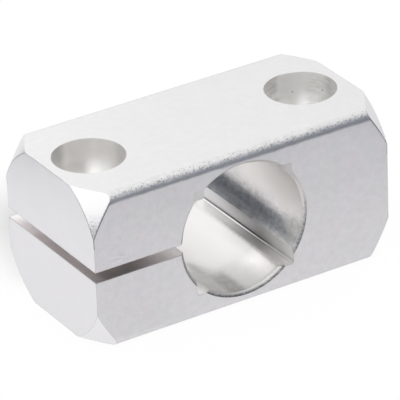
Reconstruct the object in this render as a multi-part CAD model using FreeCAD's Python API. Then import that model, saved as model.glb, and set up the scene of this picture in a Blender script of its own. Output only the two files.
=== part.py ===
"""Connecting clamp: one block of square aluminium bar that closes on a round or a square tube.

The block lies along X on its base face. A tube passes through it along Y. A slit from the left
end into the tube opening leaves two jaws, which one socket screw draws together. A second screw
hole in the solid right half bolts the block down. The origin is the middle of the base face.
"""
import FreeCAD, Part
import math
import os

from FreeCAD import Vector

# Driving dimensions, in millimetres and degrees

# The opening for the tube
bore_diameter = 25.0
bore_mouth_chamfer = 0.6
square_seat_side = 20.3
square_seat_corner_radius = 0.5
slit_width = 2.0

# Metal left around the openings
wall_over_bore = 2.5
wall_bore_to_screw = 3.0
wall_screw_to_end = 1.8

# The M8 socket screws that the holes are made for
screw_head_diameter = 13.0
screw_head_height = 8.0
screw_head_clearance = 0.1
shank_hole_diameter = 9.0
thread_core_diameter = 6.8

# The drawn bar and its turned ends
bar_edge_radius = 1.8
end_straight_edge = 14.8
end_cone_angle = 45.0

# Sizes and places that follow from the driving dimensions

bar_side = bore_diameter + 2 * wall_over_bore
bar_axis_height = bar_side / 2
counterbore_diameter = screw_head_diameter + 2 * screw_head_clearance
counterbore_floor_height = bar_side - screw_head_height
screw_hole_x = (bore_diameter + counterbore_diameter) / 2 + wall_bore_to_screw
bar_length = 2 * screw_hole_x + counterbore_diameter + 2 * wall_screw_to_end
end_circle_radius = math.hypot(bar_side / 2, end_straight_edge / 2)

X_AXIS = Vector(1, 0, 0)
Y_AXIS = Vector(0, 1, 0)
Z_AXIS = Vector(0, 0, 1)
BAR_CENTRE = Vector(0, 0, bar_axis_height)


def rounded_square_prism(side, corner_radius, length, direction):
    """Prism of rounded square section about the bar's centre, lying along a horizontal direction."""
    half_side = side / 2
    corner_centre = half_side - corner_radius
    corner_middle = corner_centre + corner_radius * math.cos(math.pi / 4)
    straight = Part.makeLine(Vector(half_side, -corner_centre, 0), Vector(half_side, corner_centre, 0))
    corner = Part.Arc(
        Vector(half_side, corner_centre, 0),
        Vector(corner_middle, corner_middle, 0),
        Vector(corner_centre, half_side, 0),
    ).toShape()
    outline = []
    for quarter_turn in range(4):
        for edge in (straight, corner):
            turned_edge = edge.copy()
            turned_edge.rotate(Vector(), Z_AXIS, 90 * quarter_turn)
            outline.append(turned_edge)
    prism = Part.Face(Part.Wire(outline)).extrude(Z_AXIS * length)
    prism.translate(Z_AXIS * (-length / 2))
    lay_down = FreeCAD.Placement(BAR_CENTRE, FreeCAD.Rotation(Z_AXIS, direction))
    return prism.transformed(lay_down.Matrix)


def turned_solid(outline, start, axis):
    """Solid of revolution about an axis, from (distance along the axis, radius) points."""
    outward = Z_AXIS.cross(axis) if axis.z == 0 else X_AXIS
    points = [start + axis * along + outward * radius for along, radius in outline]
    section = Part.Face(Part.makePolygon(points + points[:1]))
    return section.revolve(start, axis, 360)


def square_bar():
    """The drawn square bar with its rounded long edges, cut to length."""
    return rounded_square_prism(bar_side, bar_edge_radius, bar_length, X_AXIS)


def turned_envelope():
    """What the lathe leaves of the bar: cones about its axis take the corners off both end faces."""
    clear_of_bar = bar_side / math.sqrt(2)
    cone_length = (clear_of_bar - end_circle_radius) / math.tan(math.radians(end_cone_angle))
    outline = [
        (0, 0),
        (0, end_circle_radius),
        (cone_length, clear_of_bar),
        (bar_length - cone_length, clear_of_bar),
        (bar_length, end_circle_radius),
        (bar_length, 0),
    ]
    return turned_solid(outline, BAR_CENTRE - X_AXIS * (bar_length / 2), X_AXIS)


def tube_opening():
    """Round bore with chamfered mouths, joined by the broached corners in which a square tube seats."""
    bore_radius = bore_diameter / 2
    chamfer = bore_mouth_chamfer
    outline = [
        (-chamfer, 0),
        (-chamfer, bore_radius + 2 * chamfer),
        (chamfer, bore_radius),
        (bar_side - chamfer, bore_radius),
        (bar_side + chamfer, bore_radius + 2 * chamfer),
        (bar_side + chamfer, 0),
    ]
    bore = turned_solid(outline, BAR_CENTRE - Y_AXIS * (bar_side / 2), Y_AXIS)
    broach = rounded_square_prism(square_seat_side, square_seat_corner_radius, 2 * bar_side, Y_AXIS)
    return bore.fuse(broach)


def jaw_slit():
    """Saw cut at mid-height, from the left end into the tube opening and clear through the depth."""
    saw_corner = BAR_CENTRE - Vector(bar_length, bar_side, slit_width / 2)
    return Part.makeBox(bar_length, 2 * bar_side, slit_width, saw_corner)


def stepped_hole(hole_x, steps):
    """Upright hole through the block, from (diameter, height it reaches up to) steps, base first."""
    outline = [(-bar_side, 0), (-bar_side, steps[0][0] / 2)]
    for (diameter, top), (next_diameter, next_top) in zip(steps, steps[1:]):
        outline.append((top, diameter / 2))
        outline.append((top, next_diameter / 2))
    outline.append((2 * bar_side, steps[-1][0] / 2))
    outline.append((2 * bar_side, 0))
    return turned_solid(outline, Vector(hole_x, 0, 0), Z_AXIS)


def clamping_screw_hole():
    """Counterbore and shank hole in the upper jaw, above the thread's core in the lower jaw."""
    steps = [
        (thread_core_diameter, bar_axis_height),
        (shank_hole_diameter, counterbore_floor_height),
        (counterbore_diameter, bar_side),
    ]
    return stepped_hole(-screw_hole_x, steps)


def bolting_down_hole():
    """Counterbore and shank hole down through the solid half, for fixing the clamp to a base."""
    steps = [
        (shank_hole_diameter, counterbore_floor_height),
        (counterbore_diameter, bar_side),
    ]
    return stepped_hole(screw_hole_x, steps)


def clamp_body():
    """The finished block: the bar inside its turned envelope, less the opening, the slit and the holes."""
    body = square_bar().common(turned_envelope())
    for cut in (tube_opening(), jaw_slit(), clamping_screw_hole(), bolting_down_hole()):
        body = body.cut(cut)
    return body


os.makedirs("parts", exist_ok=True)
finished_body = clamp_body()
finished_body.exportStep("parts/clamp_body.step")
print("clamp_body: solids", len(finished_body.Solids), "valid", finished_body.isValid())
print("clamp_body:", finished_body.optimalBoundingBox())
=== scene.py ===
"""Looks of the connecting clamp: its machined aluminium, the white studio and the camera."""
import math

import bmesh
import bpy
from mathutils import Matrix, Vector

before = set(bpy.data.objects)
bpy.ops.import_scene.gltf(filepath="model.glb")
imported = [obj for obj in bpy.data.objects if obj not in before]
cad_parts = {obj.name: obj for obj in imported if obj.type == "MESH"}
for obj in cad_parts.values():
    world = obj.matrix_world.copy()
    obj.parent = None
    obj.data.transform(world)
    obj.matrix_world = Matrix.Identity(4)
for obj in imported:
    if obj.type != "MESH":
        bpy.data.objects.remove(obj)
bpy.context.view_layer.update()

# Clamp body: a block of drawn square aluminium bar, bare metal. Its ends are turned, the opening
# is bored, its corners are broached, the screw holes are counterbored and the jaws are parted by
# a slitting saw. Each of these cuts leaves a finish of its own.

# Lengths and places on the clamp are in millimetres from the middle of the bar
bar_half_side = 15.0
bar_edge_start = 13.2
bore_radius = 12.5
bore_mouth_chamfer = 0.6
seat_half_side = 10.15
screw_hole_x = 22.1
counterbore_radius = 6.6
thread_core_radius = 3.4
thread_pitch = 1.25
slit_half_width = 1.0
slit_ends_x = -12.0
turned_from_x = 24.0
saw_middle_x = 30.0
scuff_x = -25.3
scuff_z = 2.4

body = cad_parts["clamp_body"]
aluminium = bpy.data.materials.new("satin_aluminium")
aluminium.use_nodes = True
tree = aluminium.node_tree
shader = tree.nodes["Principled BSDF"]
shader.inputs["Metallic"].default_value = 1.0


def new_node(kind, **settings):
    """A node in the tree of the material that is being made, with its own settings."""
    node = tree.nodes.new(kind)
    for name, value in settings.items():
        setattr(node, name, value)
    return node


def feed(socket, value):
    """Gives a socket a number, a colour or another node's output."""
    if isinstance(value, bpy.types.NodeSocket):
        tree.links.new(value, socket)
    else:
        socket.default_value = value


def calc(operation, *values):
    """Output of a Math node."""
    node = new_node("ShaderNodeMath", operation=operation)
    for socket, value in zip(node.inputs, values):
        feed(socket, value)
    return node.outputs[0]


def ramp(value, start, end, low=0.0, high=1.0, shape="SMOOTHSTEP"):
    """Low where the value is at start, high where it is at end, and smooth in between."""
    node = new_node("ShaderNodeMapRange", interpolation_type=shape)
    limits = {"Value": value, "From Min": start, "From Max": end, "To Min": low, "To Max": high}
    for name, number in limits.items():
        feed(node.inputs[name], number)
    return node.outputs["Result"]


def slope(value, start, end, low=0.0, high=1.0):
    """As ramp, but straight in between."""
    return ramp(value, start, end, low, high, shape="LINEAR")


def both(*masks):
    """Where all of the masks are on."""
    result = masks[0]
    for mask in masks[1:]:
        result = calc("MULTIPLY", result, mask)
    return result


def below(value, limit):
    return calc("LESS_THAN", value, limit)


def above(value, limit):
    return calc("GREATER_THAN", value, limit)


def scaled(value, factor):
    return calc("MULTIPLY", value, factor)


def total(*values):
    """The sum of several outputs."""
    result = values[0]
    for value in values[1:]:
        result = calc("ADD", result, value)
    return result


def radius(first, second):
    """Distance from an axis, from two coordinates across it."""
    return calc("SQRT", total(scaled(first, first), scaled(second, second)))


def vector(first, second, third):
    node = new_node("ShaderNodeCombineXYZ")
    for socket, value in zip(node.inputs, (first, second, third)):
        feed(socket, value)
    return node.outputs[0]


def split(triple):
    """The three numbers of a place or a direction."""
    node = new_node("ShaderNodeSeparateXYZ")
    feed(node.inputs["Vector"], triple)
    return node.outputs


def blend(under, over, mask, colour=False):
    """One value over another where the mask is on."""
    node = new_node("ShaderNodeMix", data_type="RGBA" if colour else "FLOAT")
    first, second = (6, 7) if colour else (2, 3)
    feed(node.inputs[0], mask)
    feed(node.inputs[first], under)
    feed(node.inputs[second], over)
    return node.outputs[2 if colour else 0]


def noise(at, scale, detail=2.0, roughness=0.5):
    """Noise from about -0.5 to 0.5. Its scale is in spots per millimetre."""
    node = new_node("ShaderNodeTexNoise")
    feed(node.inputs["Vector"], at)
    feed(node.inputs["Scale"], scale)
    feed(node.inputs["Detail"], detail)
    feed(node.inputs["Roughness"], roughness)
    return calc("SUBTRACT", node.outputs["Fac"], 0.5)


def tool_lines(along, pitch, depth):
    """Height of the fine lines that a fed tool leaves, uneven in depth from line to line."""
    even = calc("SINE", scaled(along, 2 * math.pi / pitch))
    uneven = noise(vector(along, 0.0, 0.0), 1.3 / pitch, 3.0, 0.7)
    return scaled(total(scaled(even, 0.4), scaled(uneven, 2.0)), depth)


coordinates = new_node("ShaderNodeTexCoord")
in_millimetres = new_node("ShaderNodeMapping")
in_millimetres.inputs["Location"].default_value = (0, 0, -bar_half_side)
in_millimetres.inputs["Scale"].default_value = (1000, 1000, 1000)
feed(in_millimetres.inputs["Vector"], coordinates.outputs["Object"])
place = in_millimetres.outputs["Vector"]
x, y, z = split(place)
out_x, out_y, out_z = [calc("ABSOLUTE", number) for number in (x, y, z)]
facing_x, facing_y, facing_z = [
    calc("ABSOLUTE", number) for number in split(coordinates.outputs["Normal"])
]

# The drawn skin, which is left on the four long sides. It is grey, violet in places on the sides.
clouding = noise(place, 0.13, 3.0)
mottling = noise(place, 0.75, 3.0, 0.6)
grain = noise(place, 2.6, 3.0, 0.6)
speckle = noise(place, 4.6, 4.0, 0.65)
die_lines = noise(vector(scaled(x, 0.05), scaled(y, 3.0), scaled(z, 3.0)), 1.0, 3.0)
violet = (0.820, 0.805, 0.825, 1.0)
grey = (0.805, 0.811, 0.820, 1.0)
side_tint = blend(violet, grey, ramp(noise(place, 0.3, 3.0, 0.6), -0.12, 0.12), colour=True)
on_side = ramp(facing_y, 0.5, 0.9)
finishes = {
    "colour": blend((0.812, 0.808, 0.808, 1.0), side_tint, on_side, colour=True),
    "tone": total(
        scaled(clouding, 0.05),
        both(mottling, ramp(facing_y, 0.5, 0.9, 0.08, 0.17)),
        scaled(die_lines, 0.03),
        both(grain, ramp(facing_y, 0.5, 0.9, 0.03, 0.14)),
        # Painted light: the sides are paler towards their upper right
        scaled(both(ramp(x, 0.0, 22.0), ramp(z, 3.0, 12.0), facing_y), 0.085),
    ),
    "roughness": total(scaled(clouding, 0.10), 0.38),
    "height": total(scaled(grain, 0.012), scaled(die_lines, 0.003)),
}


def finish_over(mask, **values):
    """Puts one cut's finish over what is there already."""
    for name, value in values.items():
        finishes[name] = blend(finishes[name], value, mask, colour=name == "colour")


# The rounded long edges, which the die and the rack have roughened
on_long_edge = both(ramp(out_y, bar_edge_start - 0.2, 13.7), ramp(out_z, bar_edge_start - 0.2, 13.7))
pitting = noise(place, 3.4, 4.0, 0.75)
rubbing = noise(place, 2.6, 4.0, 0.75)
on_front_edge = both(ramp(facing_z, 0.76, 0.45), above(z, 0.0), below(y, 0.0))
rub_limit = ramp(facing_z, 0.60, 1.0, 0.00, 0.075)
rubbed = both(
    ramp(calc("SUBTRACT", rubbing, rub_limit), 0.0, 0.06),
    ramp(facing_z, 0.30, 0.60),
    above(z, 0.0),
)
finish_over(
    on_long_edge,
    # Painted reflection of the dark screen: the front edge is bluish, and darker the more it turns
    # towards the front
    colour=blend(finishes["colour"], (0.79, 0.797, 0.835, 1.0), on_front_edge, colour=True),
    tone=total(
        scaled(rubbed, -0.48),
        scaled(mottling, 0.20),
        scaled(rubbing, 0.35),
        both(on_front_edge, ramp(facing_z, 0.50, 0.10, -0.04, -0.18)),
    ),
    height=total(
        scaled(both(rubbing, ramp(facing_z, 0.30, 0.70, 0.35, 1.0)), 0.11),
        scaled(noise(place, 0.35, 2.0), 0.14),
    ),
)

# The scuff that the saw left beside the slit
scuff_distance = radius(scaled(calc("SUBTRACT", x, scuff_x), 0.45), calc("SUBTRACT", z, scuff_z))
scuffed = both(ramp(scuff_distance, 1.3, 0.5), below(y, -14.9))
scuff_waver = total(scaled(z, 2.2), scaled(noise(place, 0.6), 2.0))
scuff_lines = both(scuffed, noise(vector(scaled(x, 0.5), 0.0, scuff_waver), 1.0, 2.0))
finishes["height"] = total(finishes["height"], scaled(scuff_lines, 0.16))
finishes["tone"] = total(finishes["tone"], scaled(scuff_lines, 0.45))

# The turned ends: fine rings about the bar's axis, on the end faces and on the cones
bar_radius = radius(y, z)
rings = tool_lines(bar_radius, 0.22, 0.0011)
turned = both(above(out_x, turned_from_x), above(facing_x, 0.6))
on_cone = below(facing_x, 0.9)
cone_tip = both(on_cone, above(z, 0.0), ramp(z, 12.5, 8.5))
finish_over(
    turned,
    colour=(0.90, 0.899, 0.906, 1.0),
    tone=total(
        scaled(noise(place, 0.2, 3.0), 0.03),
        both(cone_tip, ramp(pitting, 0.0, 0.10, 0.10, -0.42)),
        # Painted light: the lower halves of the cones are paler, and the left cones paler towards the top
        scaled(both(on_cone, below(z, 0.0)), 0.05),
        both(on_cone, below(x, 0.0), ramp(z, 8.0, 13.0, 0.0, 0.10)),
    ),
    roughness=total(scaled(noise(place, 0.3, 2.0), 0.08), 0.30),
    height=total(rings, scaled(grain, 0.004), scaled(both(cone_tip, pitting), 0.05)),
)

# The bored opening: fine rings along its axis, duller where no tube has rubbed it, in its upper right.
# That upper right part is also painted paler and warmer: painted light.
bore_distance = radius(x, z)
bored = both(below(bore_distance, bore_radius + 0.75), below(facing_y, 0.95))
smears = noise(vector(scaled(x, 1.2), scaled(y, 0.7), scaled(z, 1.2)), 1.0, 4.0, 0.65)
painted_pale_upper_right = both(ramp(z, -3.0, 0.5), above(x, 0.0))
finish_over(
    bored,
    colour=blend((0.81, 0.80, 0.79, 1.0), (0.815, 0.80, 0.775, 1.0), painted_pale_upper_right, colour=True),
    tone=total(
        scaled(noise(place, 0.25, 3.0), 0.04),
        scaled(grain, 0.05),
        # The right wall, smeared low down, and painted paler in its upper right: painted light
        both(smears, ramp(x, 7.0, 9.0, 0.0, 0.8), ramp(z, -1.0, -4.0)),
        both(painted_pale_upper_right, ramp(y, 9.0, 4.0, 0.0, 0.22)),
        # Painted reflection of the dark screen: darker bands along it, over the broached corner
        both(ramp(z, -1.0, -3.4), ramp(z, -7.4, -6.2), ramp(y, -8.0, -1.0, 0.0, -0.18), above(x, 0.0)),
        both(ramp(z, -2.4, -3.4), ramp(z, -4.8, -4.0, 0.0, -0.10), above(x, 0.0)),
        both(ramp(z, -4.0, -5.2), ramp(z, -6.4, -5.2), ramp(y, -8.0, -1.0, 0.0, -0.12), above(x, 0.0)),
        both(ramp(z, -5.9, -6.9), ramp(y, -7.0, 0.5, 0.0, -0.30), ramp(y, 11.0, 4.0), above(x, 8.0)),
        # Its front end painted paler, and the strip under the broached corner painted darker: painted
        # light and shade
        both(ramp(z, -6.0, -7.2), ramp(y, -5.0, -11.0, 0.0, 0.20), above(x, 8.0)),
        both(ramp(x, 5.2, 7.3, 0.0, -0.14), ramp(z, -8.0, -9.0), ramp(y, 6.0, -2.0)),
        # Paler and darker patches across the bottom, near the front
        both(ramp(y, -5.0, -9.0), ramp(x, -0.3, 1.5), ramp(z, -8.0, -9.0, 0.0, 0.24)),
        both(ramp(y, -5.0, -9.0), ramp(x, -3.8, -2.0), ramp(x, 1.0, -0.6, 0.0, -0.24)),
        both(ramp(y, -5.0, -9.0), ramp(x, -2.2, -4.0, 0.0, 0.12)),
        both(ramp(y, -5.0, -9.0), ramp(x, -6.5, -8.4, 0.0, 0.12)),
        both(smears, ramp(x, 3.0, -1.0, 0.0, 0.45), ramp(y, -4.0, -9.0)),
    ),
    roughness=total(
        scaled(noise(place, 0.4, 3.0), 0.06),
        ramp(x, -5.5, -9.0, 0.0, 0.35),
        scaled(painted_pale_upper_right, 0.20),
        both(ramp(z, -7.0, -10.0, 0.0, 0.20), ramp(y, -3.0, -10.0), ramp(x, 6.5, 3.0)),
        0.21,
    ),
    height=total(tool_lines(y, 0.30, 0.0005), scaled(grain, 0.0015)),
)

# Its chamfered mouths, where the cutter chattered
chamfered = both(
    above(out_y, bar_half_side - bore_mouth_chamfer - 0.02),
    above(bore_distance, bore_radius - 0.1),
    below(bore_distance, bore_radius + bore_mouth_chamfer + 0.03),
)
chatter = both(ramp(x, 4.0, 9.0), ramp(z, 6.0, -2.0), ramp(pitting, 0.02, 0.12))
finish_over(
    chamfered,
    tone=total(
        # Painted highlight along the inner rim of the chamfer, and a painted dark line along its outer
        # rim that fades out towards the top
        ramp(bore_distance, bore_radius + 0.22, bore_radius + 0.08, 0.0, 0.10),
        both(
            ramp(bore_distance, bore_radius + 0.24, bore_radius + 0.48, 0.0, -0.36),
            ramp(z, 6.0, 0.0),
        ),
        both(
            ramp(bore_distance, bore_radius + 0.20, bore_radius + 0.36),
            ramp(z, -7.0, -11.5),
            ramp(grain, -0.12, 0.02, 0.0, -0.40),
        ),
        scaled(chatter, -0.55),
    ),
    roughness=ramp(z, 3.0, 8.0, 0.34, 0.70),
    height=scaled(speckle, 0.05),
)

# The broached corners: lines along the opening
corner_lean = calc("ADD", out_x, scaled(out_z, -1.0))
seat_from = ramp(corner_lean, -0.3, 0.3, bore_radius + 0.9, bore_radius + 0.1)
in_seat = both(
    below(out_x, seat_half_side + 0.02),
    below(out_z, seat_half_side + 0.02),
    ramp(bore_distance, bore_radius - 0.1, seat_from),
    below(facing_y, 0.5),
)
broach_lines = noise(vector(scaled(x, 5.0), scaled(y, 0.06), scaled(z, 5.0)), 1.0, 3.0)
on_wall = both(ramp(corner_lean, -0.3, 0.3), ramp(z, 0.0, -0.5))
on_floor = both(ramp(corner_lean, 0.3, -0.3), ramp(z, 0.0, -0.5))
in_crease = both(ramp(corner_lean, -0.62, -0.40), ramp(corner_lean, 0.55, 0.35))
wall_shade_line = both(ramp(corner_lean, 0.00, 0.10), ramp(corner_lean, 0.45, 0.30), ramp(y, -9.0, -6.0))
floor_highlight_line = both(ramp(corner_lean, -0.08, -0.14), ramp(corner_lean, -0.30, -0.22), ramp(y, -8.0, -5.5))
in_corner = both(above(bore_distance, 13.6), above(x, 0.0), below(z, 0.0))
in_left_corner = both(below(x, 0.0), below(z, 0.0))
finish_over(
    in_seat,
    colour=(0.82, 0.81, 0.805, 1.0),
    tone=total(
        scaled(grain, 0.05),
        # Painted light and shade: the upper corners darker, the lower ones paler towards the front
        ramp(z, 0.0, 0.5, 0.0, -0.28),
        ramp(y, -10.5, -14.5, 0.0, 0.17),
        both(in_left_corner, scaled(grain, 0.50)),
        both(in_left_corner, ramp(y, -13.0, -14.5, 0.02, 0.20)),
        # Painted shade in the middle of the lower walls and floors, and the floors paler towards the
        # back: painted light
        both(on_wall, ramp(y, -10.0, -3.0), ramp(y, 15.5, 0.5, 0.0, -0.43)),
        both(on_floor, ramp(y, -10.5, -4.5), ramp(y, 4.5, -3.0), ramp(out_x, 6.9, 9.0, -0.17, -0.34)),
        both(on_floor, ramp(y, 2.0, 6.0, 0.0, 0.12)),
        # A painted highlight line along the lower right corner's floor, with painted dark lines above it
        # on the wall and in the crease
        both(in_corner, scaled(wall_shade_line, -0.20)),
        both(in_corner, scaled(floor_highlight_line, 0.55)),
        both(in_corner, scaled(in_crease, -0.25)),
    ),
    roughness=total(ramp(y, -14.5, -8.5, 0.0, 0.11), ramp(y, -5.0, 2.0, 0.0, -0.12), 0.33),
    height=scaled(broach_lines, 0.006),
)

# The counterbored holes: rings down the holes, torn in streaks, with two pits in the right one
across_hole = calc("SUBTRACT", x, scaled(calc("SIGN", x), screw_hole_x))
hole_distance = radius(across_hole, y)
hole_angle = calc("ARCTAN2", y, across_hole)
in_hole = both(
    below(hole_distance, counterbore_radius + 0.05),
    above(out_z, slit_half_width + 0.02),
    below(out_z, bar_half_side - 0.002),
)
streaks = noise(vector(scaled(hole_angle, 2.5), 0.0, scaled(z, 0.5)), 1.0, 4.0, 0.6)
wipes = noise(vector(scaled(hole_angle, 4.5), 0.0, scaled(z, 1.1)), 1.0, 5.0, 0.7)
ring_marks = noise(vector(hole_angle, 0.0, scaled(z, 1.7)), 1.0, 4.0, 0.65)
left_painted_shade = both(
    ramp(total(hole_angle, ramp(x, 0.0, 1.0, 0.0, 0.15)), math.radians(96), math.radians(114)),
    ramp(z, 10.0, 13.5, 0.55, 1.0),
)
right_painted_shade = ramp(hole_angle, math.radians(35), math.radians(-10))
polished = both(
    ramp(hole_angle, math.radians(-20), math.radians(15)),
    ramp(hole_angle, math.radians(82), math.radians(50)),
    ramp(z, 13.5, 7.5),
)
pits = []
for pit_angle, pit_z in ((69.8, 11.1), (20.1, 11.8)):
    pit_place = (
        screw_hole_x + counterbore_radius * math.cos(math.radians(pit_angle)),
        counterbore_radius * math.sin(math.radians(pit_angle)),
        pit_z,
    )
    pit_distance = new_node("ShaderNodeVectorMath", operation="DISTANCE")
    feed(pit_distance.inputs[0], place)
    feed(pit_distance.inputs[1], pit_place)
    pits.append(ramp(pit_distance.outputs["Value"], 0.28, 0.12))
finish_over(
    in_hole,
    colour=(0.95, 0.94, 0.927, 1.0),
    tone=total(
        scaled(streaks, 0.16),
        scaled(both(wipes, above(x, 0.0)), 0.40),
        scaled(both(ring_marks, above(x, 0.0)), 0.45),
        # Painted light and shade: the walls darker at their left and right sides and, in the right hole,
        # paler towards the back
        both(ramp(hole_angle, math.radians(62), math.radians(74)), ramp(z, 11.5, 10.0, 0.0, -0.08)),
        both(ramp(hole_angle, math.radians(35), math.radians(65), -0.04, 0.10), above(x, 0.0)),
        scaled(left_painted_shade, -0.30),
        scaled(right_painted_shade, -0.24),
        scaled(total(*pits), -0.40),
        0.03,
    ),
    roughness=total(scaled(noise(place, 0.5, 3.0), 0.06), scaled(polished, -0.15), 0.68),
    height=total(tool_lines(z, 0.25, 0.00012), scaled(streaks, 0.006), scaled(grain, 0.004)),
)
hole_lift = both(in_hole, polished, ramp(x, 0.0, 1.0, 0.71, 0.57))

# The thread in the lower jaw
turns = total(calc("DIVIDE", z, thread_pitch), calc("DIVIDE", hole_angle, 2 * math.pi))
threaded = both(below(hole_distance, thread_core_radius + 0.1), below(x, 0.0), below(z, -slit_half_width))
finish_over(
    threaded,
    roughness=0.28,
    height=scaled(calc("PINGPONG", turns, 0.5), 1.1),
)

# The sawn slit: arcs left by the saw's teeth
saw_arcs = tool_lines(radius(calc("SUBTRACT", x, saw_middle_x), y), 0.45, 0.0035)
sawn = both(below(out_z, slit_half_width + 0.02), below(x, slit_ends_x), above(facing_z, 0.5))
finish_over(
    sawn,
    colour=(0.90, 0.870, 0.868, 1.0),
    tone=total(
        scaled(noise(vector(scaled(x, 0.3), scaled(y, 0.3), 0.0), 1.0, 3.0), 0.25),
        # Painted shade: darker near the front of the slit, away from its ends
        both(ramp(x, -29.8, -27.5), ramp(x, -15.0, -24.0), ramp(y, -7.0, -13.0, 0.0, -0.34)),
    ),
    roughness=0.40,
    height=total(saw_arcs, scaled(grain, 0.006)),
)

# The edges are rounded a little in the shading, as after a light deburring, and painted darker along the
# rounding: a painted dark line. The broached corners, the slit and the rims of the cones are rounded a
# little more. The radii are in metres.
seat_edge = both(above(bore_distance, bore_radius - 1.2), below(out_y, 14.2), below(bore_distance, 13.4))
seat_crease = both(below(z, -8.8), below(bore_distance, 13.4), below(out_y, 14.2), below(facing_y, 0.5))
slit_edge = both(below(out_z, 1.6), below(x, slit_ends_x))
cone_edge = both(above(out_x, 22.0), above(bar_radius, 16.0))
cone_side = both(cone_edge, above(out_y, 14.0), above(z, 0.0))
broken_edge = new_node("ShaderNodeBevel", samples=8)
feed(
    broken_edge.inputs["Radius"],
    total(
        scaled(seat_edge, 0.00020),
        scaled(seat_crease, 0.00100),
        scaled(slit_edge, 0.00010),
        scaled(cone_edge, 0.00010),
        scaled(cone_side, ramp(z, 7.0, 12.0, 0.00002, 0.00028)),
        0.00012,
    ),
)
geometry = new_node("ShaderNodeNewGeometry")
turned_away = new_node("ShaderNodeVectorMath", operation="DOT_PRODUCT")
feed(turned_away.inputs[0], broken_edge.outputs["Normal"])
feed(turned_away.inputs[1], geometry.outputs["Normal"])
edge = ramp(turned_away.outputs["Value"], 0.998, 0.93)
# How dark the edges are painted: painted shade, strongest on the upper part of the cones' rims
cone_rim_shade = both(ramp(z, -4.0, 4.0, 0.30, 0.95), ramp(z, 14.2, 13.2))
opening = both(below(bore_distance, 14.4), calc("MAXIMUM", above(z, 2.0), below(facing_y, 0.5)))
end_rim_shade = both(ramp(z, 7.0, 11.0, 0.28, 0.62), above(out_x, 29.0))
painted_edge_shade = blend(blend(calc("MAXIMUM", end_rim_shade, 0.28), cone_rim_shade, cone_edge), 0.08, opening)

brightness = new_node("ShaderNodeVectorMath", operation="SCALE")
feed(brightness.inputs[0], finishes["colour"])
feed(
    brightness.inputs["Scale"],
    both(calc("ADD", finishes["tone"], 1.0), calc("SUBTRACT", 1.0, both(edge, painted_edge_shade))),
)
feed(shader.inputs["Base Color"], brightness.outputs["Vector"])
feed(shader.inputs["Roughness"], finishes["roughness"])
relief = new_node("ShaderNodeBump")
relief.inputs["Distance"].default_value = 0.001
feed(relief.inputs["Height"], finishes["height"])
lifted = new_node("ShaderNodeVectorMath", operation="ADD")
feed(lifted.inputs[0], broken_edge.outputs["Normal"])
feed(lifted.inputs[1], vector(0.0, 0.0, hole_lift))
lifted_normal = new_node("ShaderNodeVectorMath", operation="NORMALIZE")
feed(lifted_normal.inputs[0], lifted.outputs["Vector"])
feed(relief.inputs["Normal"], lifted_normal.outputs["Vector"])
feed(shader.inputs["Normal"], relief.outputs["Normal"])

body.data.materials.clear()
body.data.materials.append(aluminium)

# Floor: a sheet of matt white paper under the clamp. It shows white to the camera and nearly white
# in the metal, and the clamp's soft shadow lies on it, at full depth in the patch behind that is
# seen through the opening, where the paper is also painted grey: a painted shadow. It is clear from
# below, so that the clamp's base can be looked at.
floor_half_side = 1.5
floor_drop = 0.00005
paper_white = 0.9
paper_shaded = 0.62
plain_white_share = 0.95
shadow_behind = (0.012, 0.018, 0.035, 0.060)
shadow_half_length = 0.034
# Where along X, and how white the paper looks there in the metal: painted light, paler to the left
paper_in_metal = ((-0.06, 0.90), (0.03, 0.82))
# A faint violet tint that the paper has only in the metal: painted reflection
tint_in_metal = (1.0, 0.985, 1.0, 1)

floor_mesh = bpy.data.meshes.new("paper_floor")
sheet = bmesh.new()
bmesh.ops.create_grid(sheet, x_segments=1, y_segments=1, size=floor_half_side)
bmesh.ops.translate(sheet, verts=sheet.verts, vec=(0, 0, -floor_drop))
sheet.to_mesh(floor_mesh)
sheet.free()
floor = bpy.data.objects.new("paper_floor", floor_mesh)
bpy.context.scene.collection.objects.link(floor)

paper = bpy.data.materials.new("white_paper")
paper.use_nodes = True
tree = paper.node_tree
tree.nodes.remove(tree.nodes["Principled BSDF"])
light_path = new_node("ShaderNodeLightPath")
to_camera = light_path.outputs["Is Camera Ray"]
to_metal = light_path.outputs["Is Glossy Ray"]
through_glass = light_path.outputs["Is Transmission Ray"]
paper_x, paper_y = split(new_node("ShaderNodeTexCoord").outputs["Object"])[:2]

start_y, full_y, fading_y, end_y = shadow_behind
behind = both(slope(paper_y, start_y, full_y), slope(paper_y, end_y, fading_y))
within = slope(calc("ABSOLUTE", paper_x), shadow_half_length, shadow_half_length / 2)
in_shadow = both(behind, within)

matt_paper = new_node("ShaderNodeBsdfDiffuse")
plain_white = (paper_white, paper_white, paper_white, 1)
shaded_white = (paper_shaded, paper_shaded, paper_shaded, 1)
feed(matt_paper.inputs["Color"], blend(plain_white, shaded_white, in_shadow, colour=True))

(left_x, left_white), (right_x, right_white) = paper_in_metal
white_in_metal = slope(paper_x, left_x, right_x, left_white, right_white)
lit_paper = new_node("ShaderNodeEmission")
feed(lit_paper.inputs["Color"], blend(tint_in_metal, (1, 1, 1, 1), to_camera, colour=True))
feed(lit_paper.inputs["Strength"], blend(white_in_metal, 1.0, to_camera))

seen = calc("MAXIMUM", calc("MAXIMUM", to_camera, to_metal), through_glass)
lit_share = slope(both(in_shadow, to_camera), 0.0, 1.0, plain_white_share, 0.0)
paper_from_above = new_node("ShaderNodeMixShader")
feed(paper_from_above.inputs["Fac"], both(seen, lit_share))
feed(paper_from_above.inputs[1], matt_paper.outputs[0])
feed(paper_from_above.inputs[2], lit_paper.outputs[0])

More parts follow.
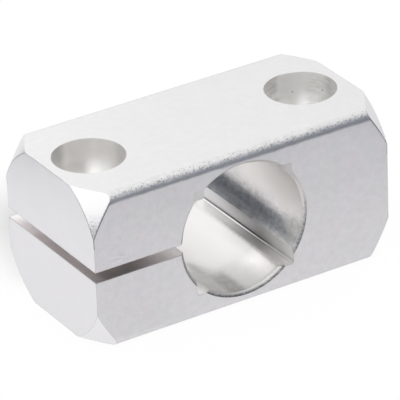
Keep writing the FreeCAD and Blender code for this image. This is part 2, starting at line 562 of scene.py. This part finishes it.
paper_sides = new_node("ShaderNodeMixShader")
feed(paper_sides.inputs["Fac"], new_node("ShaderNodeNewGeometry").outputs["Backfacing"])
feed(paper_sides.inputs[1], paper_from_above.outputs[0])
feed(paper_sides.inputs[2], new_node("ShaderNodeBsdfTransparent").outputs[0])
feed(tree.nodes["Material Output"].inputs["Surface"], paper_sides.outputs[0])
floor_mesh.materials.append(paper)

# Screen: a ring of cloth round the set, dark to pale at its foot and white above. It is there only
# for the metal to reflect, which gives the rounded edges and the opening their dark line.
screen_radius = 0.09
screen_height = 0.40
brightest_cloth = 1.15
dark_cloth = (0.120, 0.133, 0.160, 1)
middle_height = 0.015
# Azimuth from +X towards +Y, the elevations where the dark cloth ends and where the white starts,
# all in degrees, the whiteness of the cloth at the foot, from 0 to 1, and the white's strength
screen_cloths = (
    (-180, 3, 21, 0.02, 1.02),
    (-150, 3, 21, 0.04, 1.02),
    (-110, 8, 45, 0.10, 1.02),
    (-80, 13, 76, 0.14, 1.02),
    (-40, 13, 76, 0.14, 1.02),
    (-15, 6, 64, 0.40, 1.02),
    (5, 0, 50, 0.78, 1.02),
    (60, 0, 30, 0.82, 1.03),
    (92, 0, 24, 0.90, 1.12),
    (107, 0, 26, 0.85, 1.12),
    (115, 10, 17, 0.03, 1.12),
    (130, 10, 18, 0.03, 1.10),
    (140, 8, 22, 0.10, 1.02),
    (163, 4, 21, 0.03, 1.02),
    (180, 3, 21, 0.02, 1.02),
)

screen_mesh = bpy.data.meshes.new("cloth_screen")
band = bmesh.new()
bmesh.ops.create_circle(band, cap_ends=False, segments=128, radius=screen_radius)
raised = bmesh.ops.extrude_edge_only(band, edges=band.edges)
bmesh.ops.translate(
    band,
    verts=[v for v in raised["geom"] if isinstance(v, bmesh.types.BMVert)],
    vec=(0, 0, screen_height),
)
band.to_mesh(screen_mesh)
band.free()
screen = bpy.data.objects.new("cloth_screen", screen_mesh)
bpy.context.scene.collection.objects.link(screen)

cloth = bpy.data.materials.new("screen_cloth")
cloth.use_nodes = True
tree = cloth.node_tree
tree.nodes.remove(tree.nodes["Principled BSDF"])
cloth_x, cloth_y, cloth_z = split(new_node("ShaderNodeTexCoord").outputs["Object"])

cloths_round = new_node("ShaderNodeValToRGB")
cloths_round.color_ramp.interpolation = "EASE"
stops = cloths_round.color_ramp.elements
while len(stops) < len(screen_cloths):
    stops.new(0.5)
# Each stop's colour carries the two elevations, as shares of the way straight up, and the whiteness
for stop, (azimuth, dark_end, white_start, whiteness, strength) in zip(stops, screen_cloths):
    stop.position = (azimuth + 180) / 360
    stop.color = (dark_end / 90, white_start / 90, whiteness, strength / brightest_cloth)
feed(cloths_round.inputs["Fac"], slope(calc("ARCTAN2", cloth_y, cloth_x), -math.pi, math.pi))
cloth_limits = new_node("ShaderNodeSeparateColor")
feed(cloth_limits.inputs["Color"], cloths_round.outputs["Color"])
dark_ends, white_starts, foot_whiteness = cloth_limits.outputs

elevation = calc("ARCTAN2", calc("SUBTRACT", cloth_z, middle_height), screen_radius)
how_high = calc("DIVIDE", elevation, math.pi / 2)
foot = blend(dark_cloth, (1, 1, 1, 1), foot_whiteness, colour=True)
top = scaled(cloths_round.outputs["Alpha"], brightest_cloth)
lit_cloth = new_node("ShaderNodeEmission")
feed(lit_cloth.inputs["Color"], blend(foot, top, ramp(how_high, dark_ends, white_starts), colour=True))
feed(tree.nodes["Material Output"].inputs["Surface"], lit_cloth.outputs[0])
screen_mesh.materials.append(cloth)
screen.visible_camera = False
screen.visible_diffuse = False
screen.visible_shadow = False

# Room and lamp: a plain white room, and one large soft lamp, a square of lit cloth on a stand. It
# hangs over the camera and faces the clamp.
room = bpy.data.worlds.new("white_room")
bpy.context.scene.world = room
room.use_nodes = True
room.node_tree.nodes["Background"].inputs["Color"].default_value = (1, 1, 1, 1)

lamp_azimuth = math.radians(-121.0)
lamp_elevation = math.radians(55.0)
lamp_distance = 0.7
lamp_side = 0.35
lamp_radiance = 3.0

soft_lamp = bpy.data.lights.new("soft_lamp", "AREA")
soft_lamp.shape = "SQUARE"
soft_lamp.size = lamp_side
soft_lamp.energy = lamp_radiance * math.pi * lamp_side * lamp_side
lamp_holder = bpy.data.objects.new("soft_lamp", soft_lamp)
bpy.context.scene.collection.objects.link(lamp_holder)
to_lamp = Vector((
    math.cos(lamp_azimuth) * math.cos(lamp_elevation),
    math.sin(lamp_azimuth) * math.cos(lamp_elevation),
    math.sin(lamp_elevation),
))
lamp_holder.location = to_lamp * lamp_distance + Vector((0, 0, middle_height))
lamp_holder.rotation_euler = to_lamp.to_track_quat("Z", "Y").to_euler()

# Camera: a long lens on a stand above the clamp's left front corner, as in the photograph. It aims
# at the middle of the clamp and is tilted a little.
view_azimuth = math.radians(-31.157)
view_elevation = math.radians(28.134)
view_roll = math.radians(-2.289)
view_distance = 0.73709
aim_right = 0.000182
aim_up = -0.000659

back = Vector((
    math.sin(view_azimuth) * math.cos(view_elevation),
    -math.cos(view_azimuth) * math.cos(view_elevation),
    math.sin(view_elevation),
))
level_right = (-back).cross(Vector((0, 0, 1))).normalized()
level_up = back.cross(level_right)
right = level_right * math.cos(view_roll) + level_up * math.sin(view_roll)
up = level_up * math.cos(view_roll) - level_right * math.sin(view_roll)
stand = Vector((0, 0, middle_height)) + back * view_distance + right * aim_right + up * aim_up
lens = bpy.data.cameras.new("camera")
lens.sensor_fit = "HORIZONTAL"
lens.sensor_width = 36.0
lens.lens = 372.1
camera = bpy.data.objects.new("camera", lens)
bpy.context.scene.collection.objects.link(camera)
camera.matrix_world = Matrix.Translation(stand) @ Matrix((right, up, back)).transposed().to_4x4()
bpy.context.scene.camera = camera

bpy.context.scene.view_settings.view_transform = "Standard"
bpy.context.scene.cycles.glossy_bounces = 12
